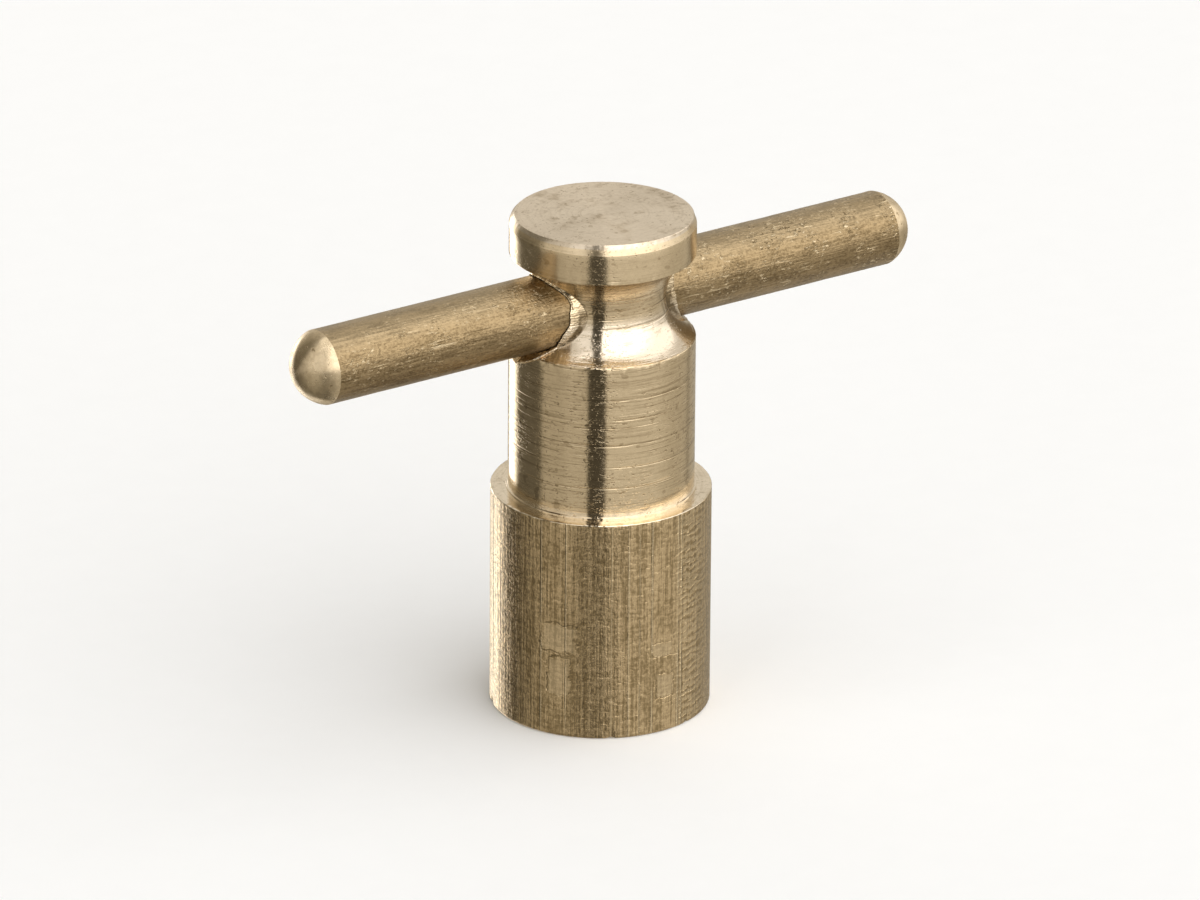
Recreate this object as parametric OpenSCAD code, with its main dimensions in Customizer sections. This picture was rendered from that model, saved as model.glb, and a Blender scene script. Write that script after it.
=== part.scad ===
// Loose tee-handled key for a gas valve: a turned brass socket body with a
// plain brass bar pressed through its neck.
// Frame: origin at the centre of the bottom rim, +Z up the body, bar along X.

/* [Sleeve] */
// Diameter of the bar stock, left as drawn on the sleeve
sleeve_d = 14; // [13.5:0.1:16]
// Height of the sleeve, from the bottom rim to the shoulder
sleeve_h = 14.6; // [14:0.1:18]
// Break on the sleeve's bottom and top outer edges
sleeve_break = 0.15; // [0.05:0.05:0.3]

/* [Barrel] */
// Diameter of the turned barrel and of the head
barrel_d = 11.8; // [11.2:0.1:12.8]
// Length of the barrel, from the shoulder to the neck groove
barrel_h = 10.2; // [9:0.1:14]
// How far the foot of the barrel stands out beyond the barrel
foot_flare = 0.15; // [0.05:0.05:0.3]
// Height of the plain step under the flared foot
foot_step_h = 0.1; // [0.05:0.05:0.25]
// Height at which the flare has died away into the barrel
foot_flare_h = 0.4; // [0.3:0.1:1.2]

/* [Neck] */
// Diameter at the bottom of the round neck groove
neck_d = 8.1; // [7.6:0.1:9]
// Length of the neck groove, from edge to edge
neck_h = 5.6; // [5.2:0.1:8]

/* [Head] */
// Height of the head's straight band
head_band_h = 1.95; // [1.5:0.05:4]
// Height of the steep chamfer round the top
head_chamfer_h = 0.65; // [0.3:0.05:1]
// How far that chamfer comes in from the side
head_chamfer_in = 0.25; // [0.1:0.05:0.5]

/* [Tee bar] */
// Diameter of the bar and of the hole it is pressed into
bar_d = 4.8; // [4:0.1:5]
// Length of the bar over its rounded ends
bar_len = 46; // [36:1:70]
// Height of each rounded end
bar_nose_h = 1.8; // [1.2:0.1:2]
// Height of the bar's axis above the bottom of the neck groove
bar_rise = 2.5; // [2.5:0.1:2.9]

/* [Socket] */
// Size across the flats of the square socket
socket_af = 8; // [7:0.1:8.4]
// Depth of the square
socket_depth = 12; // [8:0.5:13]
// How much wider the drilled hole is than the square's flats
pilot_extra = 0.2; // [0.1:0.05:0.3]
// Depth of the drilled hole, to the start of its point
pilot_depth = 14.2; // [13:0.1:16]
// Included angle of the drilled hole's point
drill_angle = 118; // [90:1:140]
// Diameter of the countersunk mouth
mouth_d = 9.6; // [9:0.1:10.4]

/* [Hidden] */
// Facets on a full circle
$fn = 160;
// How far a cutter runs past the face that it starts from
over = 1;

sleeve_r = sleeve_d / 2;
barrel_r = barrel_d / 2;
neck_r = neck_d / 2;
foot_r = barrel_r + foot_flare;
groove_z = sleeve_h + barrel_h;
head_z = groove_z + neck_h;
band_top_z = head_z + head_band_h;
top_z = band_top_z + head_chamfer_h;
bar_z = groove_z + bar_rise;
// The groove is one arc, through both of its edges and neck_r at the middle
groove_in = barrel_r - neck_r;
groove_r = (pow(neck_h / 2, 2) + pow(groove_in, 2)) / (2 * groove_in);
bar_r = bar_d / 2;
pilot_r = (socket_af + pilot_extra) / 2;
mouth_r = mouth_d / 2;
point_h = pilot_r / tan(drill_angle / 2);
// Sphere radius of a cap that is bar_nose_h high on a bar of radius bar_r
nose_r = (pow(bar_r, 2) + pow(bar_nose_h, 2)) / (2 * bar_nose_h);
nose_x = bar_len / 2 - bar_nose_h;

// Half outline of the turned body before the neck groove is cut
module blank_outline() {
  polygon([
    [0, 0],
    [sleeve_r - sleeve_break, 0],
    [sleeve_r, sleeve_break],
    [sleeve_r, sleeve_h - sleeve_break],
    [sleeve_r - sleeve_break, sleeve_h],
    [foot_r, sleeve_h],
    [foot_r, sleeve_h + foot_step_h],
    [barrel_r, sleeve_h + foot_flare_h],
    [barrel_r, band_top_z],
    [barrel_r - head_chamfer_in, top_z],
    [0, top_z]
  ]);
}

// Half section of the round neck groove
module groove_section() {
  translate([neck_r + groove_r, groove_z + neck_h / 2]) circle(r = groove_r);
}

// Square socket in the bottom: drilled, broached square, then countersunk
module socket_cut() {
  translate([0, 0, (socket_depth - over) / 2])
    cube([socket_af, socket_af, socket_depth + over], center = true);
  translate([0, 0, -over]) cylinder(r = pilot_r, h = pilot_depth + over);
  translate([0, 0, pilot_depth]) cylinder(r1 = pilot_r, r2 = 0, h = point_h);
  translate([0, 0, -over]) cylinder(r1 = mouth_r + over, r2 = 0, h = mouth_r + over);
}

// Hole through the neck that the bar is pressed into
module cross_hole() {
  translate([-barrel_r - over, 0, bar_z]) rotate([0, 90, 0])
    cylinder(r = bar_r, h = 2 * (barrel_r + over));
}

module key_body() {
  color([0.79, 0.70, 0.54])
    difference() {
      rotate_extrude()
        difference() {
          blank_outline();
          groove_section();
        }
      socket_cut();
      cross_hole();
    }
}

module tee_bar() {
  color([0.68, 0.58, 0.40])
    translate([0, 0, bar_z]) rotate([0, 90, 0])
      intersection() {
        cylinder(r = bar_r, h = bar_len, center = true);
        union() {
          cylinder(r = bar_d, h = 2 * nose_x, center = true);
          for (side = [-1, 1])
            translate([0, 0, side * (bar_len / 2 - nose_r)]) sphere(r = nose_r);
        }
      }
}

key_body();
tee_bar();
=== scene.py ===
"""Brass loose key for a gas valve: dense meshes, brass finishes, studio and camera.

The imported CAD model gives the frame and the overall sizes.  Lengths are in millimetres
until mesh_piece(), Nodes.bump() and camera() turn them into metres.
"""

import math

import bmesh
import bpy
import numpy as np
from mathutils import Matrix, Vector


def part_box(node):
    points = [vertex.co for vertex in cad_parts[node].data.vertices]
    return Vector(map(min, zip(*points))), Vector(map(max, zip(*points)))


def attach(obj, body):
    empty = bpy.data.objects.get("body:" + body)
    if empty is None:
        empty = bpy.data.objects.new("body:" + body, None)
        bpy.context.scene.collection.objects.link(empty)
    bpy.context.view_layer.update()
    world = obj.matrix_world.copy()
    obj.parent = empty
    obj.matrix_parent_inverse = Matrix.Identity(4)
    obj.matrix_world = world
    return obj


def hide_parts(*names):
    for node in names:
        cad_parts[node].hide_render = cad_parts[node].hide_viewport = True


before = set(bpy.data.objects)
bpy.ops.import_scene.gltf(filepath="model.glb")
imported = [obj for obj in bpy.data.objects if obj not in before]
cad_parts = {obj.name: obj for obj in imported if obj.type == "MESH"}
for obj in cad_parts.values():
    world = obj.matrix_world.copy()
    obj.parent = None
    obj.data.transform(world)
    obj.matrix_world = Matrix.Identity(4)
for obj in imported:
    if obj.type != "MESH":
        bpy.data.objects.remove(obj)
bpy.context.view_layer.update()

MM = 0.001
TAU = 2 * math.pi

# ---------------------------------------------------------------- sizes from the frame
BODY_LOW, BODY_HIGH = (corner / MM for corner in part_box("key_body"))
BAR_LOW, BAR_HIGH = (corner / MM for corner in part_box("tee_bar"))
SLEEVE_R = (BODY_HIGH.x - BODY_LOW.x) / 2
TOP_Z = BODY_HIGH.z
BAR_R = (BAR_HIGH.y - BAR_LOW.y) / 2
BAR_Z = (BAR_HIGH.z + BAR_LOW.z) / 2
BAR_HALF = (BAR_HIGH.x - BAR_LOW.x) / 2

# ---------------------------------------------------------------- sizes of the turned body
SLEEVE_H = 14.6
BARREL_R = 5.9
GROOVE_LOW = 24.8
GROOVE_HIGH = 30.4
NECK_R = 4.05
CHAMFER_H = 0.65
CHAMFER_IN = 0.25
FOOT_OUT = 0.13
FOOT_STEP = 0.1
FOOT_ROUND = 0.04
FOOT_FILLET = 0.03
RIM_ROUND = 0.15
EDGE_ROUND = 0.06
SOCKET_HALF = 4.0
SOCKET_CORNER_R = 0.25
SOCKET_DEPTH = 12.0
PILOT_R = 4.1
PILOT_DEPTH = 14.2
DRILL_POINT = 118
POINT_H = PILOT_R / math.tan(math.radians(DRILL_POINT / 2))
MOUTH_R = 4.8

# Height of the bar's rounded ends, and the gap round the bar in its cross hole
NOSE_H = 1.8
HOLE_GAP = 0.05

# The neck groove is one arc, through both of its edges and NECK_R at the middle.  The arc
# stops EDGE_ANGLE degrees short of the edges, which are rounded.
GROOVE_MID = (GROOVE_LOW + GROOVE_HIGH) / 2
GROOVE_HALF = (GROOVE_HIGH - GROOVE_LOW) / 2
GROOVE_IN = BARREL_R - NECK_R
GROOVE_R = (GROOVE_HALF ** 2 + GROOVE_IN ** 2) / (2 * GROOVE_IN)
EDGE_ANGLE = 1.0

# The head's faults: how far off centre the chamfer is, and the degrees to the right of the
# camera of its wider side; how low the top face is at the back, and how deep the band of
# rows is that leans with it
CHAMFER_RUNOUT = 0.06
RUNOUT_SIDE = 95
TOP_TILT = 0.19
FACE_BAND = 0.06

# ---------------------------------------------------------------- meshes
BODY_SEGMENTS = 384
BAR_SEGMENTS = 192
DRILL_SEGMENTS = 128
CROSS_SEGMENTS = 180
LIP_SEGMENTS = 480
GROOVE_POINTS = 84
CAP_POINTS = 22
MESH_STEP = 0.4
DRILL_STEP = 1.2
CROSS_STEP = 0.8
SAME_POINT = 1e-7
WELD_METRES = 1e-7
OVER = 1.0

# Rows close above the rim, which carry the nicks in it
RIM_ROWS = (0.25, 0.4, 0.55, 0.7, 0.9, 1.1)

# Nicks in the rim: degrees to the right of the camera's side, width in degrees, depth
RIM_NICKS = [(-78, 2.2, 0.16), (6, 1.6, 0.07), (52, 1.2, 0.05), (150, 2.5, 0.12)]
NICK_REACH = 0.45
NICK_BAND = 0.4

# Broken edges of the turned body: radius, height, depth of the roughness, seed
ROUGH_EDGES = [(BARREL_R, GROOVE_LOW, 0.02, 11), (BARREL_R, GROOVE_HIGH, 0.012, 12),
               (SLEEVE_R, SLEEVE_H, 0.02, 13), (BARREL_R - CHAMFER_IN, TOP_Z, 0.014, 14),
               (BARREL_R + FOOT_OUT, SLEEVE_H + FOOT_STEP, 0.012, 15)]
EDGE_REACH = 0.05

# The lip that the pressed bar dragged out round each mouth of the cross hole.  Angle round
# the bar from +Y over the top, height along the bar, and how far the rim stands off it.
LIP_LEFT = [(0, 0.5, 0.0), (90, 0.1, -0.03), (135, 0.12, -0.03), (155, 0.35, -0.03), (168, 0.8, -0.03),
            (200, 0.95, -0.02), (215, 0.6, 0.0), (226, 0.15, 0.05), (245, 0.75, 0.3), (270, 0.85, 0.45),
            (300, 0.5, 0.2), (360, 0.5, 0.0)]
LIP_RIGHT = [(0, 0.5, 0.0), (90, 0.12, -0.03), (140, 0.25, -0.03), (180, 0.65, 0.0), (220, 0.35, 0.1),
             (245, 0.4, 0.2), (280, 0.4, 0.2), (330, 0.5, 0.05), (360, 0.5, 0.0)]
LIP_SEED_LEFT = 20
LIP_SEED_RIGHT = 30
LIP_WALL = 0.05

# Dents in the bar: how many, the share that may lie anywhere along it, the range of those
# and of the rest, their size, and their depth and length as shares of the size
DENTS = 70
DENT_SEED = 8
DENTS_ANYWHERE = 0.35
DENT_RANGE = (-20, 21)
DENT_RANGE_WORN = (4, 21)
DENT_SIZE = (0.12, 0.42)
DENT_DEPTH = (0.03, 0.09)
DENT_LENGTH = (0.8, 1.8)

# Depth of the bar's drawn flats, and the stretch over which they and the dents fade out
# towards its turned ends
DIE_FLATS = 0.006
SHAFT_FADE = 0.5

# Faces that meet at more than these angles, in degrees, are shaded with a sharp edge
BODY_SHARP = 28
BAR_SHARP = 12

# ---------------------------------------------------------------- view
VIEW_AZIMUTH = -34.5
VIEW_ELEVATION = 22.75
VIEW_ROLL = 0.42
CAMERA_DISTANCE = 830.0
VIEW_WIDTH = 76.3
AIM_RIGHT = -0.08
AIM_UP = 15.53
SENSOR = 36.0

# Nearest and furthest that the camera sees, in metres
CLIP_START = 0.01
CLIP_END = 20.0

# Angle about Z, in degrees, of the side of the key that faces the camera
FRONT = -90 + VIEW_AZIMUTH


# ================================================================ outlines
def arc(centre, radius, start, end, count):
    """Points on a circle in the (r, z) plane, from start to end in degrees."""
    angles = np.radians(np.linspace(start, end, count + 1))
    return [(centre[0] + radius * math.cos(a), centre[1] + radius * math.sin(a)) for a in angles]


def densify(points, step):
    """The same outline with no stretch longer than step."""
    out = [points[0]]
    for a, b in zip(points, points[1:]):
        length = math.dist(a, b)
        if length < SAME_POINT:
            continue
        parts = max(1, math.ceil(length / step))
        out += [(a[0] + (b[0] - a[0]) * k / parts, a[1] + (b[1] - a[1]) * k / parts)
                for k in range(1, parts + 1)]
    return out


def body_outline():
    """Half outline of the turned body, from the middle of the bottom to the middle of the top."""
    band_top = TOP_Z - CHAMFER_H
    face_r = BARREL_R - CHAMFER_IN
    step_top = SLEEVE_H + FOOT_STEP
    step_r = BARREL_R + FOOT_OUT
    points = [(0, 0), (SLEEVE_R - RIM_ROUND, 0)]
    points += arc((SLEEVE_R - RIM_ROUND, RIM_ROUND), RIM_ROUND, -90, 0, 5)
    points += [(SLEEVE_R, z) for z in RIM_ROWS]
    points += arc((SLEEVE_R - EDGE_ROUND, SLEEVE_H - EDGE_ROUND), EDGE_ROUND, 0, 90, 4)
    points += [(step_r, SLEEVE_H)]
    points += arc((step_r - FOOT_ROUND, step_top - FOOT_ROUND), FOOT_ROUND, 0, 90, 3)
    points += arc((BARREL_R + FOOT_FILLET, step_top + FOOT_FILLET), FOOT_FILLET, -90, -180, 3)
    points += arc((BARREL_R - EDGE_ROUND, GROOVE_LOW - EDGE_ROUND), EDGE_ROUND, 0, 75, 4)
    half = math.degrees(math.asin(GROOVE_HALF / GROOVE_R)) - EDGE_ANGLE
    points += arc((NECK_R + GROOVE_R, GROOVE_MID), GROOVE_R, 180 + half, 180 - half, GROOVE_POINTS)
    points += arc((BARREL_R - EDGE_ROUND, GROOVE_HIGH + EDGE_ROUND), EDGE_ROUND, -75, 0, 4)
    # Both corners of the chamfer are slightly broken
    points += [(BARREL_R, band_top - 0.02), (BARREL_R - 0.01, band_top + 0.02)]
    points += [(face_r + 0.015, TOP_Z - 0.045), (face_r - 0.03, TOP_Z), (0, TOP_Z)]
    return densify(points, MESH_STEP)


def body_radius(z):
    """Radius of the turned body at height z, near the neck."""
    if z <= GROOVE_LOW or z >= GROOVE_HIGH:
        return BARREL_R
    return NECK_R + GROOVE_R - math.sqrt(GROOVE_R ** 2 - (z - GROOVE_MID) ** 2)


# ================================================================ noise for meshes
def ring_noise(count, waves, seed, power):
    """Smooth noise on a closed ring of count points, from -1 to 1, with up to waves periods."""
    rng = np.random.default_rng(seed)
    t = np.arange(count) * TAU / count
    total = np.zeros(count)
    for k in range(1, waves + 1):
        total += math.pow(k, -power) * rng.normal() * np.sin(k * t + rng.uniform(0, TAU))
    return total / np.abs(total).max()


# ================================================================ meshes
def mesh_piece(name, points, faces):
    """A mesh object from points in millimetres, with its faces turned outwards."""
    mesh = bpy.data.meshes.new(name)
    mesh.from_pydata((np.asarray(points, float) * MM).tolist(), [], [list(f) for f in faces])
    mesh.validate()
    work = bmesh.new()
    work.from_mesh(mesh)
    bmesh.ops.recalc_face_normals(work, faces=work.faces)
    work.to_mesh(mesh)
    work.free()
    piece = bpy.data.objects.new(name, mesh)
    bpy.context.scene.collection.objects.link(piece)
    return piece


def rows_of(outline, segments):
    """An outline's radii and heights, repeated for every segment of a turn."""
    radii = np.repeat(outline[:, :1], segments, 1)
    heights = np.repeat(outline[:, 1:], segments, 1)
    return radii, heights


def revolve(radii, heights, segments):
    """Closed surface of revolution about +Z.  radii and heights are (rows, segments) arrays
    between two poles at radius 0; returns points and faces."""
    rows = radii.shape[0]
    angles = np.arange(segments) * TAU / segments
    inner = slice(1, rows - 1)
    x = radii[inner] * np.cos(angles)
    y = radii[inner] * np.sin(angles)
    points = np.stack([x, y, heights[inner]], -1).reshape(-1, 3)
    bottom, top = len(points), len(points) + 1
    points = np.vstack([points, [[0, 0, heights[0, 0]], [0, 0, heights[-1, 0]]]])
    faces = []
    last = (rows - 3) * segments
    for s in range(segments):
        n = (s + 1) % segments
        faces.append((bottom, n, s))
        faces.append((top, last + s, last + n))
    for r in range(rows - 3):
        a, b = r * segments, (r + 1) * segments
        for s in range(segments):
            n = (s + 1) % segments
            faces.append((a + s, a + n, b + n, b + s))
    return points, faces


def lay_along_bar(points):
    """Points of a shape about +Z, turned to run along X at the bar's height."""
    return points[:, [2, 1, 0]] * [1, -1, 1] + [0, 0, BAR_Z]


def boolean(target, cutter, operation):
    """Target cut by or joined with cutter, which is then removed."""
    change = target.modifiers.new("cut", "BOOLEAN")
    change.operation = operation
    change.object = cutter
    change.solver = "MANIFOLD"
    graph = bpy.context.evaluated_depsgraph_get()
    mesh = bpy.data.meshes.new_from_object(target.evaluated_get(graph))
    target.modifiers.clear()
    old = target.data
    target.data = mesh
    bpy.data.meshes.remove(old)
    bpy.data.objects.remove(cutter)


def drop_crumbs(work):
    """Keep the largest connected shell, and remove any sliver that a cut left loose."""
    seen = set()
    shells = []
    for start in work.verts:
        if start in seen:
            continue
        seen.add(start)
        shell = [start]
        for vertex in shell:
            for edge in vertex.link_edges:
                other = edge.other_vert(vertex)
                if other not in seen:
                    seen.add(other)
                    shell.append(other)
        shells.append(shell)
    shells.sort(key=len)
    for shell in shells[:-1]:
        bmesh.ops.delete(work, geom=shell, context="VERTS")


def finish_mesh(piece, angle):
    """Weld doubles and drop crumbs, then shade smooth except over edges sharper than angle."""
    work = bmesh.new()
    work.from_mesh(piece.data)
    bmesh.ops.remove_doubles(work, verts=work.verts, dist=WELD_METRES)
    bmesh.ops.dissolve_degenerate(work, edges=work.edges, dist=WELD_METRES)
    drop_crumbs(work)
    bmesh.ops.recalc_face_normals(work, faces=work.faces)
    work.to_mesh(piece.data)
    work.free()
    piece.data.shade_smooth()
    piece.data.set_sharp_from_angle(angle=math.radians(angle))


def camera_angle(offset):
    """Angle about Z, in radians, of the side that faces the camera, plus offset degrees
    towards the right of the picture."""
    return math.radians(FRONT + offset)


# ---------------------------------------------------------------- the turned body
def body_blank():
    """The turned body before it is drilled, with the small faults of a real one."""
    outline = np.array(body_outline())
    seg = BODY_SEGMENTS
    radii, heights = rows_of(outline, seg)
    angles = np.arange(seg) * TAU / seg

    for r, z, depth, seed in ROUGH_EDGES:
        rows_here = np.hypot(outline[:, 0] - r, outline[:, 1] - z) < EDGE_REACH
        radii[rows_here] += depth * ring_noise(seg, waves=120, seed=seed, power=0.15)
        heights[rows_here] += depth * 0.6 * ring_noise(seg, waves=90, seed=seed + 50, power=0.15)

    # The chamfer was cut a little off centre
    face = outline[:, 1] > TOP_Z - FACE_BAND
    shift = CHAMFER_RUNOUT * np.cos(angles - camera_angle(RUNOUT_SIDE))
    radii[face] += shift * np.clip(outline[face, :1] / (BARREL_R - CHAMFER_IN), 0, 1)
    # The top face was faced off flat, but slightly out of square, low at the back
    heights[outline[:, 1] > TOP_Z - SAME_POINT] = TOP_Z
    back = radii * np.cos(angles - camera_angle(180))
    lean = TOP_TILT * np.clip(0.5 + 0.5 * back / BARREL_R, 0, 1)
    heights -= lean * face[:, None]

    # Nicks knocked into the bottom edge
    for offset, width, depth in RIM_NICKS:
        away = (angles - camera_angle(offset) + math.pi) % TAU - math.pi
        bite = depth * np.exp(-(away / math.radians(width)) ** 2)
        rim = np.exp(-(outline[:, 1] / NICK_REACH) ** 2) * (outline[:, 0] > SLEEVE_R - NICK_BAND)
        radii -= np.outer(rim, bite)
        heights += np.outer(rim, bite * 0.9)
    return mesh_piece("key_body_turned", *revolve(radii, heights, seg))


def hole_lip(side):
    """One lip with a thin jagged rim, as a closed ring that overlaps the neck."""
    count = LIP_SEGMENTS
    hole = BAR_R + HOLE_GAP
    table = np.array(LIP_RIGHT if side > 0 else LIP_LEFT)
    seed = LIP_SEED_RIGHT if side > 0 else LIP_SEED_LEFT
    turn = np.arange(count) * 360 / count
    height = np.interp(turn, table[:, 0], table[:, 1])
    stand = np.interp(turn, table[:, 0], table[:, 2])
    jag = ring_noise(count, waves=170, seed=seed, power=0.1)
    wave = ring_noise(count, waves=30, seed=seed + 1, power=0.2)
    ribs = ring_noise(count, waves=150, seed=seed + 2, power=0.0)
    height += 0.05 * wave + 0.045 * jag
    stand += 0.012 * (1 + wave) + 0.008 * jag
    points, faces = [], []
    for k in range(count):
        a = math.radians(turn[k])
        cos_a, sin_a = math.cos(a), math.sin(a)
        edge_r = body_radius(BAR_Z + hole * sin_a)
        edge_x = math.sqrt(edge_r ** 2 - (hole * cos_a) ** 2)
        spread = 0.10 + 0.10 * abs(cos_a)
        h, out = height[k], stand[k]
        wall = LIP_WALL + 0.015 * ribs[k] + 0.15 * max(0, out)

        def fixed(radial, x):
            """A point so far from the bar's axis, and so far along it."""
            return (side * x, radial * cos_a, BAR_Z + radial * sin_a)

        def ground(radial, up):
            """A point so far from the bar's axis, and so far above the neck's surface."""
            y, z = radial * cos_a, BAR_Z + radial * sin_a
            r = body_radius(z)
            return (side * (math.sqrt(max(r * r - y * y, 0.01)) + up), y, z)

        # Round one section of the lip: inside wall, rim, outside wall, foot, underside
        section = [
            fixed(hole - 0.35, edge_x - 0.5),
            fixed(hole - 0.35, edge_x - 0.1),
            fixed(hole + out * 0.2 - 0.04, edge_x + h * 0.35),
            fixed(hole + out, edge_x + h),
            fixed(hole + out + wall * 0.6, edge_x + h + 0.015),
            fixed(hole + out + wall, edge_x + h * 0.92),
            fixed(hole + out * 0.6 + wall + spread * 0.30, edge_x + h * 0.80),
            fixed(hole + out * 0.25 + wall + spread * 0.60, edge_x + h * 0.35),
            ground(hole + wall + spread, -0.025),
            ground(hole + wall + spread + 0.06, -0.06),
            ground(hole + 0.05, -0.45),
        ]
        points += section
    n = len(section)
    for k in range(count):
        a, b = k * n, ((k + 1) % count) * n
        for j in range(n):
            m = (j + 1) % n
            faces.append((a + j, b + j, b + m, a + m))
    return mesh_piece("lip", points, faces)


def socket_square():
    """Cutter for the broached square, with slightly rounded corners."""
    corner, half = SOCKET_CORNER_R, SOCKET_HALF
    loop = []
    for quarter in range(4):
        start = 90 * quarter
        sx = 1 if quarter in (0, 3) else -1
        sy = 1 if quarter in (0, 1) else -1
        loop += arc((sx * (half - corner), sy * (half - corner)), corner, start, start + 90, 4)
    n = len(loop)
    points = [(x, y, -OVER) for x, y in loop] + [(x, y, SOCKET_DEPTH) for x, y in loop]
    faces = [tuple(reversed(range(n))), tuple(range(n, 2 * n))]
    faces += [(k, (k + 1) % n, n + (k + 1) % n, n + k) for k in range(n)]
    return mesh_piece("square_cutter", points, faces)


def socket_drill():
    """Cutter for the drilled hole, its point and its countersunk mouth."""
    outline = [(0, -OVER), (MOUTH_R + OVER, -OVER), (PILOT_R, MOUTH_R - PILOT_R),
               (PILOT_R, PILOT_DEPTH), (0, PILOT_DEPTH + POINT_H)]
    radii, heights = rows_of(np.array(densify(outline, DRILL_STEP)), DRILL_SEGMENTS)
    return mesh_piece("drill_cutter", *revolve(radii, heights, DRILL_SEGMENTS))


def cross_drill():
    """Cutter for the hole that the bar is pressed through."""
    reach = BARREL_R + OVER
    hole = BAR_R + HOLE_GAP
    outline = [(0, -reach), (hole, -reach), (hole, reach), (0, reach)]
    radii, heights = rows_of(np.array(densify(outline, CROSS_STEP)), CROSS_SEGMENTS)
    points, faces = revolve(radii, heights, CROSS_SEGMENTS)
    return mesh_piece("cross_cutter", lay_along_bar(points), faces)


def key_body():
    """The whole body: turned blank, lips, cross hole and square socket."""
    body = body_blank()
    for side in (-1, 1):
        boolean(body, hole_lip(side), "UNION")
    boolean(body, cross_drill(), "DIFFERENCE")
    boolean(body, socket_drill(), "DIFFERENCE")
    boolean(body, socket_square(), "DIFFERENCE")
    finish_mesh(body, BODY_SHARP)
    return body


# ---------------------------------------------------------------- the bar
def tee_bar():
    """Drawn rod with turned round ends, slightly uneven and dented from handling."""
    sphere_r = (BAR_R ** 2 + NOSE_H ** 2) / (2 * NOSE_H)
    opening = math.degrees(math.asin(BAR_R / sphere_r))
    nose = BAR_HALF - NOSE_H
    left = arc((0, -BAR_HALF + sphere_r), sphere_r, -90, -90 + opening, CAP_POINTS)
    right = arc((0, BAR_HALF - sphere_r), sphere_r, 90 - opening, 90, CAP_POINTS)
    points = left + [(BAR_R, -nose + 0.03), (BAR_R, nose - 0.03)] + right
    outline = np.array(densify(points, MESH_STEP))
    outline[0, 0] = outline[-1, 0] = 0.0
    seg = BAR_SEGMENTS
    radii, heights = rows_of(outline, seg)
    angles = np.arange(seg) * TAU / seg
    along = outline[:, 1]
    shaft = np.clip((nose - np.abs(along)) / SHAFT_FADE, 0, 1)

    # Faint lengthwise flats from the drawing die
    radii -= np.outer(shaft, DIE_FLATS * (1 + ring_noise(seg, waves=40, seed=5, power=0.3)))
    # Dents, more of them on the +X half
    rng = np.random.default_rng(DENT_SEED)
    for _ in range(DENTS):
        x = rng.uniform(*DENT_RANGE) if rng.random() < DENTS_ANYWHERE else rng.uniform(*DENT_RANGE_WORN)
        a, size = rng.uniform(0, TAU), rng.uniform(*DENT_SIZE)
        depth = size * rng.uniform(*DENT_DEPTH)
        around = ((angles - a + math.pi) % TAU - math.pi) * BAR_R
        dent = np.exp(-((along[:, None] - x) / (size * rng.uniform(*DENT_LENGTH))) ** 2
                      - (around[None, :] / size) ** 2)
        radii -= depth * dent * shaft[:, None]
    points, faces = revolve(radii, heights, seg)
    bar = mesh_piece("tee_bar_drawn", lay_along_bar(points), faces)
    finish_mesh(bar, BAR_SHARP)
    return bar


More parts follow.
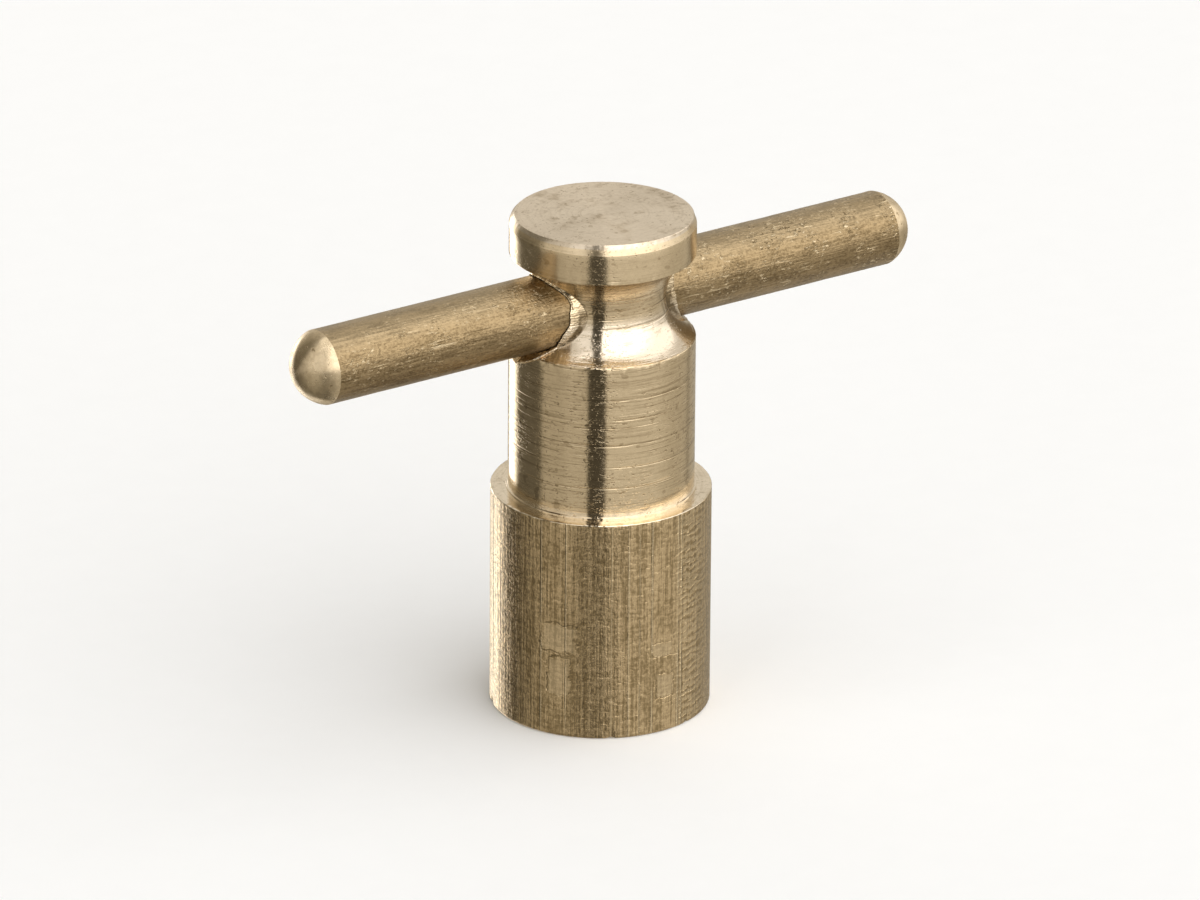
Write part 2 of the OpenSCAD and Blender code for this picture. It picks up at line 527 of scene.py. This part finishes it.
# ================================================================ node helpers
class Nodes:
    """Short calls for building a node tree."""

    def __init__(self, tree):
        self.tree = tree
        tree.nodes.clear()

    def add(self, kind, **settings):
        node = self.tree.nodes.new(kind)
        for key, value in settings.items():
            setattr(node, key, value)
        return node

    def put(self, socket, value):
        if isinstance(value, bpy.types.NodeSocket):
            self.tree.links.new(value, socket)
        elif value is not None:
            socket.default_value = value

    def math(self, operation, *values):
        node = self.add("ShaderNodeMath", operation=operation)
        for socket, value in zip(node.inputs, values):
            self.put(socket, value)
        return node.outputs[0]

    def times(self, a, b):
        return self.math("MULTIPLY", a, b)

    def plus(self, base, value, share):
        """base + value * share."""
        return self.math("MULTIPLY_ADD", value, share, base)

    def length(self, a, b):
        """Length of the vector (a, b)."""
        return self.math("SQRT", self.math("ADD", self.times(a, a), self.times(b, b)))

    def combine(self, x, y, z):
        node = self.add("ShaderNodeCombineXYZ")
        for socket, value in zip(node.inputs, (x, y, z)):
            self.put(socket, value)
        return node.outputs[0]

    def split(self, vector):
        node = self.add("ShaderNodeSeparateXYZ")
        self.put(node.inputs[0], vector)
        return node.outputs

    def noise(self, vector, scale, detail=2.0, rough=0.5):
        node = self.add("ShaderNodeTexNoise", noise_dimensions="3D")
        self.put(node.inputs["Vector"], vector)
        node.inputs["Scale"].default_value = scale
        node.inputs["Detail"].default_value = detail
        node.inputs["Roughness"].default_value = rough
        return node.outputs["Fac"]

    def line_noise(self, value, scale, detail=2.0, rough=0.5):
        node = self.add("ShaderNodeTexNoise", noise_dimensions="1D")
        self.put(node.inputs["W"], value)
        node.inputs["Scale"].default_value = scale
        node.inputs["Detail"].default_value = detail
        node.inputs["Roughness"].default_value = rough
        return node.outputs["Fac"]

    def remap(self, value, low, high, out_low=0.0, out_high=1.0, smooth=True):
        node = self.add("ShaderNodeMapRange", clamp=True)
        node.interpolation_type = "SMOOTHSTEP" if smooth else "LINEAR"
        for socket, item in zip(node.inputs, (value, low, high, out_low, out_high)):
            self.put(socket, item)
        return node.outputs[0]

    def band(self, value, centre, full, none):
        """1 where value is within full of centre, fading to 0 where it is none away."""
        away = self.math("ABSOLUTE", self.math("SUBTRACT", value, centre))
        return self.remap(away, full, none, 1.0, 0.0)

    def blend(self, factor, a, b):
        """Colour a where factor is 0, and b where it is 1."""
        node = self.add("ShaderNodeMix", data_type="RGBA", blend_type="MIX")
        self.put(node.inputs[0], factor)
        self.put(node.inputs[6], a)
        self.put(node.inputs[7], b)
        return node.outputs[2]

    def mix(self, factor, a, b):
        """Number a where factor is 0, and b where it is 1."""
        node = self.add("ShaderNodeMix", data_type="FLOAT")
        self.put(node.inputs[0], factor)
        self.put(node.inputs[2], a)
        self.put(node.inputs[3], b)
        return node.outputs[0]

    def bump(self, height, distance, normal=None):
        """Normal of a surface whose height has a range of distance millimetres."""
        node = self.add("ShaderNodeBump")
        node.inputs["Strength"].default_value = 1.0
        node.inputs["Distance"].default_value = distance * MM
        self.put(node.inputs["Height"], height)
        if normal is not None:
            self.put(node.inputs["Normal"], normal)
        return node.outputs[0]


def rgb(r, g, b):
    return (r, g, b, 1.0)


def new_material(name):
    material = bpy.data.materials.new(name)
    material.use_nodes = True
    return material, Nodes(material.node_tree)


def millimetres(n):
    """Object coordinates in millimetres, as a vector."""
    node = n.add("ShaderNodeVectorMath", operation="SCALE")
    n.put(node.inputs[0], n.add("ShaderNodeTexCoord").outputs["Object"])
    node.inputs["Scale"].default_value = 1 / MM
    return node.outputs[0]


def front_angle(n, x, y):
    """Degrees round the body from FRONT, positive anticlockwise seen from above."""
    turn = n.times(n.math("ARCTAN2", y, x), math.degrees(1))
    return n.math("WRAP", n.math("SUBTRACT", turn, FRONT), 180.0, -180.0)


def stretched(n, x, y, z, across, along, detail=2.0, rough=0.5, shift=0.0):
    """Noise with across features per millimetre in X and Y, and along of them in Z."""
    vector = n.combine(n.plus(shift, x, across), n.times(y, across), n.times(z, along))
    return n.noise(vector, 1.0, detail, rough)


def metal_output(n, colour, roughness, normal, anisotropic, axis, turn):
    """A brass shader; the grain's direction comes from the axis that the surface runs round."""
    shader = n.add("ShaderNodeBsdfPrincipled")
    shader.inputs["Metallic"].default_value = 1.0
    shader.inputs["Anisotropic"].default_value = anisotropic
    shader.inputs["Anisotropic Rotation"].default_value = turn
    n.put(shader.inputs["Base Color"], colour)
    n.put(shader.inputs["Roughness"], roughness)
    n.put(shader.inputs["Normal"], normal)
    tangent = n.add("ShaderNodeTangent", direction_type="RADIAL", axis=axis)
    n.put(shader.inputs["Tangent"], tangent.outputs[0])
    out = n.add("ShaderNodeOutputMaterial")
    n.put(out.inputs["Surface"], shader.outputs[0])


# ================================================================ finishes
TURNED = rgb(0.85, 0.70, 0.48)
TURNED_HIGHLIGHT_PALE = rgb(0.86, 0.75, 0.60)
LEDGE_HIGHLIGHT_PALE = rgb(0.90, 0.79, 0.62)
TURNED_DARK = rgb(0.38, 0.285, 0.165)
SKIN = rgb(0.78, 0.605, 0.37)
SKIN_PALE = rgb(0.90, 0.74, 0.50)
SKIN_DARK = rgb(0.36, 0.265, 0.14)
ROD = rgb(0.385, 0.285, 0.16)
ROD_PALE = rgb(0.80, 0.66, 0.44)
ROD_DARK = rgb(0.17, 0.12, 0.06)

# How high each finish's relief stands, in millimetres
RING_RELIEF = 0.0105
SPOT_RELIEF = 0.009
SKIN_RELIEF = 0.032
ROD_RELIEF = 0.026
ROD_PIT_RELIEF = 0.02
END_RELIEF = 0.006
END_PIT_RELIEF = 0.012

# Share of anisotropy, and the turn that lays the grain round or along the piece
TURNED_GRAIN = 0.8
END_GRAIN = 0.9
DRAWN_GRAIN = 0.3
GRAIN_ROUND = 0.25
GRAIN_ALONG = 0.0

# Distance from the bar's surface to the foot of the lips, where painted shade darkens the crease
LIP_FOOT = 0.28

# Marks left by the jaws of a vice on the sleeve: angle, half width in degrees, lowest and
# highest point.  Lengthwise scores from the drawing die: angle and half width in degrees.
JAW_MARKS = [(-21.5, 6.5, 2.6, 5.4), (-22, 10, 5.7, 7.6), (36, 5.5, 2.3, 4.0), (34.5, 6.5, 5.2, 6.1),
             (160, 7, 2.5, 5.2), (-150, 8, 5.5, 7.5)]
DRAW_SCORES = [(-32, 0.9), (-18, 0.5), (6, 0.5), (15, 0.8), (21, 0.5), (28, 0.9), (44.5, 0.9),
               (47, 0.8), (-75, 0.8), (-112, 0.9), (82, 0.7), (118, 0.9), (155, 0.6), (-160, 0.9)]

# Ripples across the drawn skin: millimetres from one to the next, and the degrees between
# which they fade in and fade out again
RIPPLE_PITCH = 0.45
RIPPLE_IN = (38, 52)
RIPPLE_OUT = (60, 82)


def turned_brass():
    """Bright lathe-turned brass: fine rings, a few deep ones, pits and handling marks."""
    material, n = new_material("turned_brass")
    place = millimetres(n)
    x, y, z = n.split(place)
    r = n.length(x, y)
    run = n.plus(z, r, 1.03)
    # The head was rubbed down by hand: its rings are fainter, and it is a little rougher
    head = n.remap(z, GROOVE_HIGH - 0.1, GROOVE_HIGH + 0.1)
    rings = n.plus(1.0, head, -0.7)
    face = n.remap(z, TOP_Z - 0.3, TOP_Z - 0.25)
    # The ledge on top of the sleeve and the neck's lower flank are cleaner, and are painted paler as a
    # painted highlight
    ledge = n.times(n.band(z, SLEEVE_H, 0.2, 0.6), n.remap(r, MOUTH_R + 0.6, MOUTH_R + 0.8))
    flank = n.times(n.remap(z, GROOVE_LOW - 0.02, GROOVE_LOW + 0.02),
                    n.remap(z, GROOVE_MID - 1.0, GROOVE_MID, 1.0, 0.0))
    rings = n.times(rings, n.plus(1.0, ledge, -0.6))
    hairs = stretched(n, x, y, run, across=0.22, along=7.5, detail=3.0, rough=0.7)
    groups = n.remap(n.line_noise(run, scale=0.75), 0.40, 0.60)
    broken = n.times(groups, n.remap(stretched(n, x, y, run, across=0.4, along=1.5), 0.36, 0.56))
    deep = stretched(n, x, y, run, across=0.05, along=4.2, detail=2.0, rough=0.6, shift=17.0)
    deep = n.times(n.times(n.remap(deep, 0.52, 0.64), broken), rings)
    # Coarser rings where the form tool dwelt at the neck's waist
    waist = n.band(z, GROOVE_MID - 0.4, 0.4, 0.9)
    dwell = stretched(n, x, y, z, across=0.08, along=3.4, detail=1.0, rough=0.5, shift=5.0)
    dwell = n.times(waist, n.remap(dwell, 0.50, 0.60))
    # Painted shade: the crease at the foot of each lip round the cross hole is painted dark
    up = n.math("SUBTRACT", z, BAR_Z)
    lip_crease_shade = n.band(n.length(y, up), BAR_R + LIP_FOOT, 0.05, 0.085)
    lip_crease_shade = n.times(lip_crease_shade, n.band(up, -0.4, 0.6, 1.5))
    lip_crease_shade = n.times(lip_crease_shade, n.remap(n.noise(place, scale=2.0), 0.36, 0.50, 0.4, 0.9))
    # Grain, pits, dust, dashes and stains from handling
    grain = n.noise(place, scale=6.0, detail=2.0, rough=0.6)
    pits = n.remap(n.noise(place, scale=3.1, detail=2.0, rough=0.6), 0.655, 0.73)
    dust = n.remap(stretched(n, x, y, z, across=6.5, along=9.0, detail=1.0), 0.66, 0.74)
    patch = n.remap(n.noise(place, scale=0.35, detail=1.0), 0.36, 0.56)
    smears = n.remap(n.noise(place, scale=0.55, detail=3.0, rough=0.6), 0.50, 0.72)
    dashes = stretched(n, x, y, z, across=1.7, along=8.0, detail=2.0, rough=0.6, shift=31.0)
    dashes = n.times(n.remap(dashes, 0.57, 0.66), rings)
    mottle = n.remap(n.noise(place, scale=3.4, detail=3.0, rough=0.75), 0.35, 0.68)
    spots = n.math("MAXIMUM", pits, n.times(n.math("MAXIMUM", dust, dashes), 0.75))
    tarnish = n.remap(n.noise(place, scale=1.25, detail=1.0), 0.685, 0.73)
    spots = n.math("MAXIMUM", n.times(spots, patch), n.times(tarnish, 0.5))

    height = n.times(hairs, rings)
    height = n.plus(height, deep, -1.7)
    height = n.plus(height, dwell, -2.2)
    height = n.plus(height, grain, n.plus(0.12, flank, -0.08))
    normal = n.bump(height, RING_RELIEF)
    normal = n.bump(n.math("SUBTRACT", 1.0, spots), SPOT_RELIEF, normal)
    darkening = n.plus(n.times(spots, 0.8), mottle, 0.14)
    darkening = n.plus(darkening, smears, n.plus(0.16, face, 0.16))
    # The deep rings, the dwell marks and the fine hairlines are painted darker: painted shade in their
    # grooves, together with dirt
    darkening = n.plus(darkening, deep, 0.45)
    darkening = n.plus(darkening, dwell, 0.9)
    hairline_shade_and_dirt = n.times(n.remap(hairs, 0.50, 0.68), rings)
    darkening = n.plus(darkening, hairline_shade_and_dirt, 0.5)
    smudge = n.times(face, n.remap(n.noise(place, scale=1.1, detail=3.0, rough=0.7), 0.56, 0.70))
    darkening = n.plus(darkening, smudge, 0.22)
    darkening = n.times(darkening, n.plus(1.0, flank, -0.6))
    # Painted highlight: the top face, the neck's lower flank and the ledge face the bright light above
    # and are painted paler
    base_with_painted_highlight = n.blend(n.math("MAXIMUM", face, flank), TURNED, TURNED_HIGHLIGHT_PALE)
    base_with_painted_highlight = n.blend(ledge, base_with_painted_highlight, LEDGE_HIGHLIGHT_PALE)
    colour = n.blend(n.math("MINIMUM", darkening, 1.0), base_with_painted_highlight, TURNED_DARK)
    # Painted shade in the crease round the lips, in the rod's dark colour
    colour = n.blend(lip_crease_shade, colour, ROD_DARK)
    roughness = n.plus(n.plus(0.15, ledge, -0.05), smears, 0.05)
    chamfer = n.times(n.remap(z, TOP_Z - CHAMFER_H, TOP_Z - CHAMFER_H + 0.05), 0.08)
    roughness = n.math("ADD", n.plus(roughness, head, 0.06), chamfer)
    metal_output(n, colour, roughness, normal, TURNED_GRAIN, "Z", GRAIN_ROUND)
    return material


def jaw_marks(n, angle, z, wander):
    """Masks of the jaw marks: their smooth insides and their raised borders."""
    inside, border = 0.0, 0.0
    for centre, half, low, high in JAW_MARKS:
        across = n.math("ABSOLUTE", n.plus(-centre / half, angle, 1 / half))
        tall = (high - low) / 2
        along = n.math("ABSOLUTE", n.plus(-(low + high) / 2 / tall, z, 1 / tall))
        reach = n.math("ADD", n.math("MAXIMUM", across, along), wander)
        inside = n.math("MAXIMUM", inside, n.remap(reach, 0.75, 1.0, 1.0, 0.0))
        border = n.math("MAXIMUM", border, n.band(reach, 1.0, 0.0, 0.12))
    return inside, border


def draw_scores(n, angle):
    """Mask of the lengthwise scores."""
    score = 0.0
    for centre, half in DRAW_SCORES:
        score = n.math("MAXIMUM", score, n.band(angle, centre, 0.0, half))
    return score


def drawn_skin():
    """Dull drawn skin of the sleeve: lengthwise draw lines crossed by fine ripples."""
    material, n = new_material("drawn_skin")
    place = millimetres(n)
    x, y, z = n.split(place)
    angle = front_angle(n, x, y)
    wobble = n.math("SUBTRACT", n.noise(place, scale=1.6, detail=3.0, rough=0.6), 0.5)
    lines = stretched(n, x, y, z, across=7.0, along=0.12, detail=2.0, rough=0.6)
    bark = stretched(n, x, y, z, across=7.5, along=3.0, detail=3.0, rough=0.7, shift=40.0)
    wavy_z = n.plus(z, wobble, 0.6)
    ripple = stretched(n, x, y, wavy_z, across=1.3, along=4.6, detail=2.0, rough=0.6)
    blotch = n.noise(place, scale=0.55, detail=3.0, rough=0.6)
    # Ripples across the drawn skin, strongest to the right of the jaw marks
    rippled = n.times(n.remap(angle, *RIPPLE_IN), n.remap(angle, *RIPPLE_OUT, 1.0, 0.0))
    rippled = n.plus(0.25, rippled, 0.75)
    swell = n.times(z, TAU / RIPPLE_PITCH)
    swell = n.plus(swell, n.noise(place, scale=1.2, detail=3.0, rough=0.6), 13.0)
    chatter = n.plus(0.5, n.math("SINE", swell), 0.5)
    chatter = n.times(chatter, n.times(rippled, n.remap(ripple, 0.36, 0.56, 0.15, 1.0)))
    inside, border = jaw_marks(n, angle, z, wander=n.times(wobble, 0.9))
    score = draw_scores(n, n.plus(angle, wobble, 0.5))
    faint = n.remap(stretched(n, x, y, z, across=0.8, along=0.5), 0.34, 0.50, 0.25, 1.0)
    score = n.times(score, faint)

    relief = n.plus(lines, bark, 0.9)
    relief = n.math("ADD", relief, n.plus(n.times(ripple, 0.8), chatter, 0.9))
    border = n.times(border, n.remap(n.noise(place, scale=1.3), 0.38, 0.55))
    calm = n.plus(1.0, inside, -0.35)
    height = n.times(relief, calm)
    height = n.plus(height, score, 1.1)
    height = n.plus(height, border, -0.9)
    normal = n.bump(height, SKIN_RELIEF)
    shade = n.plus(n.times(bark, 0.34), lines, 0.34)
    shade = n.math("ADD", shade, n.times(ripple, 0.22))
    shade = n.plus(shade, blotch, 0.10)
    # Painted shade and painted highlight of the ripples: their bands are painted dark and pale, the pale
    # ones only where the ripples are strong
    ripple_dark_shade = n.times(n.remap(chatter, 0.40, 0.85), 0.6)
    ripple_pale_highlight = n.times(n.remap(chatter, 0.05, 0.35, 1.0, 0.0), n.plus(-0.175, rippled, 0.7))
    colour = n.blend(n.remap(shade, 0.41, 0.58), SKIN_DARK, SKIN)
    colour = n.blend(ripple_pale_highlight, colour, SKIN_PALE)
    colour = n.blend(ripple_dark_shade, colour, SKIN_DARK)
    colour = n.blend(n.times(inside, 0.38), colour, SKIN_PALE)
    colour = n.blend(n.times(border, 0.75), colour, SKIN_DARK)
    colour = n.blend(n.times(score, 0.8), colour, SKIN_PALE)
    roughness = n.plus(0.13, blotch, 0.14)
    metal_output(n, colour, roughness, normal, DRAWN_GRAIN, "Z", GRAIN_ALONG)
    return material


def drawn_rod():
    """Dull olive-gold drawn rod with lengthwise streaks, specks and pits."""
    material, n = new_material("drawn_rod")
    place = millimetres(n)
    x, y, z = n.split(place)
    up = n.math("SUBTRACT", z, BAR_Z)
    streaks = stretched(n, y, up, x, across=7.5, along=0.30, detail=2.0, rough=0.6)
    flow = stretched(n, y, up, x, across=1.5, along=0.45, detail=4.0, rough=0.65)
    scale = stretched(n, y, up, x, across=5.0, along=3.5, detail=3.0, rough=0.75, shift=9.0)
    worn = n.remap(n.noise(place, scale=0.45), 0.40, 0.58)
    worn = n.times(n.remap(x, -8, 14, 0.7, 1.0), worn)
    pits = stretched(n, y, up, x, across=5.0, along=3.5, detail=3.0, rough=0.65)
    pits = n.times(n.remap(pits, 0.58, 0.66), worn)
    nicks = stretched(n, y, up, x, across=5.0, along=2.6, detail=3.0, rough=0.7, shift=23.0)
    nicks = n.times(n.remap(nicks, 0.585, 0.65), worn)
    rubs = stretched(n, y, up, x, across=5.0, along=0.45, detail=2.0, rough=0.5, shift=77.0)
    rubs = n.times(n.remap(rubs, 0.64, 0.70), worn)
    nicks = n.math("MAXIMUM", nicks, n.times(rubs, 0.7))
    peck = stretched(n, y, up, x, across=7.5, along=5.5, detail=2.0, rough=0.7, shift=51.0)
    pecked = n.times(peck, n.plus(0.6, worn, 1.1))
    height = n.plus(streaks, scale, 0.8)
    height = n.plus(n.math("ADD", height, pecked), nicks, -0.7)
    normal = n.bump(height, ROD_RELIEF)
    normal = n.bump(n.math("SUBTRACT", 1.0, pits), ROD_PIT_RELIEF, normal)
    shade = n.plus(n.times(flow, 0.28), streaks, 0.22)
    shade = n.plus(n.plus(shade, peck, 0.30), scale, 0.20)
    colour = n.blend(n.remap(shade, 0.38, 0.58), ROD_DARK, ROD)
    # The colour turns paler towards the top of the bar
    paler_on_top = n.times(n.remap(up, 1.2, 2.3), 0.2)
    colour = n.blend(paler_on_top, colour, ROD_PALE)
    colour = n.blend(n.times(pits, 0.85), colour, ROD_DARK)
    colour = n.blend(n.times(nicks, 0.9), colour, ROD_PALE)
    roughness = n.plus(0.24, flow, 0.14)
    metal_output(n, colour, roughness, normal, DRAWN_GRAIN, "X", GRAIN_ALONG)
    return material


def bar_end():
    """Bright turned brass of the bar's ends."""
    material, n = new_material("bar_end")
    place = millimetres(n)
    x, y, z = n.split(place)
    r = n.length(y, n.math("SUBTRACT", z, BAR_Z))
    fine = n.line_noise(n.math("ADD", r, n.math("ABSOLUTE", x)), scale=6.0, detail=2.0, rough=0.7)
    cloud = n.remap(n.noise(place, scale=1.1, detail=3.0, rough=0.6), 0.42, 0.68)
    pits = n.remap(n.noise(place, scale=2.4, detail=2.0, rough=0.6), 0.64, 0.72)
    normal = n.bump(fine, END_RELIEF)
    normal = n.bump(n.math("SUBTRACT", 1.0, pits), END_PIT_RELIEF, normal)
    mottle = n.remap(n.noise(place, scale=3.0, detail=3.0, rough=0.75), 0.36, 0.64)
    darkening = n.plus(n.times(pits, 0.55), cloud, 0.22)
    darkening = n.plus(darkening, mottle, 0.3)
    colour = n.blend(darkening, TURNED, TURNED_DARK)
    roughness = n.plus(0.27, cloud, 0.08)
    metal_output(n, colour, roughness, normal, END_GRAIN, "X", GRAIN_ROUND)
    return material


def paint_body(body):
    """Drawn skin on the sleeve's side, turned brass on all the rest."""
    body.data.materials.clear()
    body.data.materials.append(turned_brass())
    body.data.materials.append(drawn_skin())
    for face in body.data.polygons:
        centre = face.center / MM
        outside = math.hypot(centre.x, centre.y) > SLEEVE_R - RIM_ROUND * 0.7
        face.material_index = int(outside and centre.z < SLEEVE_H - EDGE_ROUND * 0.8)


def paint_bar(bar):
    """Drawn rod on the bar's side, turned brass on its ends."""
    bar.data.materials.clear()
    bar.data.materials.append(drawn_rod())
    bar.data.materials.append(bar_end())
    for face in bar.data.polygons:
        face.material_index = int(abs(face.center.x / MM) > BAR_HALF - NOSE_H)


# ================================================================ studio
# White sheets and dark gaps round the key.  From and to in degrees to the right of the
# camera; then how bright it is near the floor, at table height and above the key.
SHEETS = [(-180, -159, 0.40, 0.45, 0.72), (-157, -141, 1.30, 3.20, 0.55), (-125, -82, 0.22, 0.125, 0.20),
          (-76, -52, 0.35, 0.45, 0.72), (-40, -2, 0.35, 0.52, 1.00), (2, 70, 0.50, 0.65, 2.05),
          (98, 128, 0.75, 0.50, 1.45), (132, 134, 0.70, 0.24, 0.90), (139, 180, 0.60, 0.46, 0.72)]
NEAR_FLOOR, TABLE, ABOVE = 2, 3, 4

# Brightness straight overhead
OVERHEAD = 1.75

# The dark gap where the camera stands, as the x of a direction: its left side, its right
# side low down and high up, and the softness of both; then its brightness
GAP_LEFT = -0.27
GAP_RIGHT = 0.09
GAP_RIGHT_TOP = -0.01
GAP_EDGE = 0.02
GAP_LEVEL = 0.07

# Tints of the bright and the dim parts of the studio
BRIGHT_TINT = rgb(1.0, 0.965, 0.92)
DIM_TINT = rgb(1.0, 0.90, 0.70)

# The floor lies just under the key, so that their faces don't touch
FLOOR_HALF = 3000.0
FLOOR_Z = -0.01
FLOOR_ROUGHNESS = 0.8
FLOOR_A = rgb(0.90, 0.93, 0.97)
FLOOR_B = rgb(0.93, 0.96, 1.0)


def sheet_level(n, around, column):
    """Brightness of one height of the studio, from a direction as a share of a full turn."""
    ramp = n.add("ShaderNodeValToRGB")
    elements = ramp.color_ramp.elements
    while len(elements) > 1:
        elements.remove(elements[-1])
    peak = max(sheet[column] for sheet in SHEETS)
    spots = [(angle, sheet[column] / peak) for sheet in SHEETS for angle in sheet[:2]]
    for k, (angle, level) in enumerate(spots):
        spot = angle / 360 + 0.5
        item = elements[0] if k == 0 else elements.new(spot)
        item.position = spot
        item.color = rgb(level, level, level)
    n.put(ramp.inputs[0], around)
    return n.times(ramp.outputs[0], peak)


def studio_world():
    """Soft white sheets all round, with a dark gap between them where the camera stands."""
    world = bpy.data.worlds.new("studio")
    bpy.context.scene.world = world
    world.use_nodes = True
    n = Nodes(world.node_tree)
    direction = n.add("ShaderNodeTexCoord").outputs["Generated"]
    turn = n.add("ShaderNodeVectorRotate", rotation_type="Z_AXIS")
    n.put(turn.inputs["Vector"], direction)
    turn.inputs["Angle"].default_value = -math.radians(VIEW_AZIMUTH)
    # z is a direction's height, from -1 straight down to 1 straight up
    x, y, z = n.split(turn.outputs[0])
    around = n.math("DIVIDE", n.math("ARCTAN2", x, n.times(y, -1.0)), TAU)
    around = n.math("ADD", around, 0.5)
    near_floor, table, above = (sheet_level(n, around, column) for column in (NEAR_FLOOR, TABLE, ABOVE))
    table = n.times(table, n.remap(z, -0.45, -0.05, 0.92, 1.15, smooth=False))
    level = n.mix(n.remap(z, -0.82, -0.46), near_floor, table)
    level = n.mix(n.remap(z, -0.10, 0.24), level, above)
    level = n.mix(n.remap(z, 0.88, 0.98), level, OVERHEAD)
    # The gap narrows towards the top of the studio
    left = n.times(n.remap(z, 0.55, 0.98, 1.0, 0.5), GAP_LEFT)
    right = n.remap(z, -0.4, 0.6, GAP_RIGHT, GAP_RIGHT_TOP)
    after_left = n.remap(n.math("SUBTRACT", x, left), -GAP_EDGE, GAP_EDGE)
    before_right = n.remap(n.math("SUBTRACT", x, right), -GAP_EDGE, GAP_EDGE, 1.0, 0.0)
    front = n.remap(y, 0.05, 0.30, 1.0, 0.0)
    gap = n.times(n.times(after_left, before_right), front)
    level = n.mix(gap, level, GAP_LEVEL)
    background = n.add("ShaderNodeBackground")
    n.put(background.inputs["Color"], n.blend(n.remap(level, 0.1, 1.1), DIM_TINT, BRIGHT_TINT))
    n.put(background.inputs["Strength"], level)
    out = n.add("ShaderNodeOutputWorld")
    n.put(out.inputs["Surface"], background.outputs[0])


def floor():
    """Plain pale floor, seen by the camera and by diffuse light."""
    signs = [(-1, -1), (1, -1), (1, 1), (-1, 1)]
    corners = [(sx * FLOOR_HALF, sy * FLOOR_HALF, FLOOR_Z) for sx, sy in signs]
    piece = mesh_piece("floor", corners, [(0, 1, 2, 3)])
    material, n = new_material("pale_floor")
    shader = n.add("ShaderNodeBsdfPrincipled")
    speck = n.noise(millimetres(n), scale=0.4, detail=3.0)
    n.put(shader.inputs["Base Color"], n.blend(speck, FLOOR_A, FLOOR_B))
    shader.inputs["Roughness"].default_value = FLOOR_ROUGHNESS
    out = n.add("ShaderNodeOutputMaterial")
    n.put(out.inputs["Surface"], shader.outputs[0])
    piece.data.materials.append(material)
    piece.visible_glossy = False


def camera():
    """The scene's camera, at the photograph's viewing angle."""
    a, e, roll = (math.radians(v) for v in (VIEW_AZIMUTH, VIEW_ELEVATION, VIEW_ROLL))
    back = Vector((math.sin(a) * math.cos(e), -math.cos(a) * math.cos(e), math.sin(e)))
    right = Vector((math.cos(a), math.sin(a), 0))
    up = back.cross(right)
    place = right * AIM_RIGHT + up * AIM_UP + back * CAMERA_DISTANCE
    tilted_right = right * math.cos(roll) + up * math.sin(roll)
    tilted_up = up * math.cos(roll) - right * math.sin(roll)
    data = bpy.data.cameras.new("camera")
    data.sensor_width = SENSOR
    data.lens = SENSOR * CAMERA_DISTANCE / VIEW_WIDTH
    data.clip_start = CLIP_START
    data.clip_end = CLIP_END
    item = bpy.data.objects.new("camera", data)
    bpy.context.scene.collection.objects.link(item)
    turn = Matrix((tilted_right, tilted_up, back)).transposed().to_4x4()
    item.matrix_world = Matrix.Translation(place * MM) @ turn
    bpy.context.scene.camera = item


# ================================================================ the scene
camera()
studio_world()
floor()
bpy.context.scene.view_settings.view_transform = "Standard"

body_piece = key_body()
paint_body(body_piece)
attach(body_piece, "root")
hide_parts("key_body")

bar_piece = tee_bar()
paint_bar(bar_piece)
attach(bar_piece, "root")
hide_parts("tee_bar")
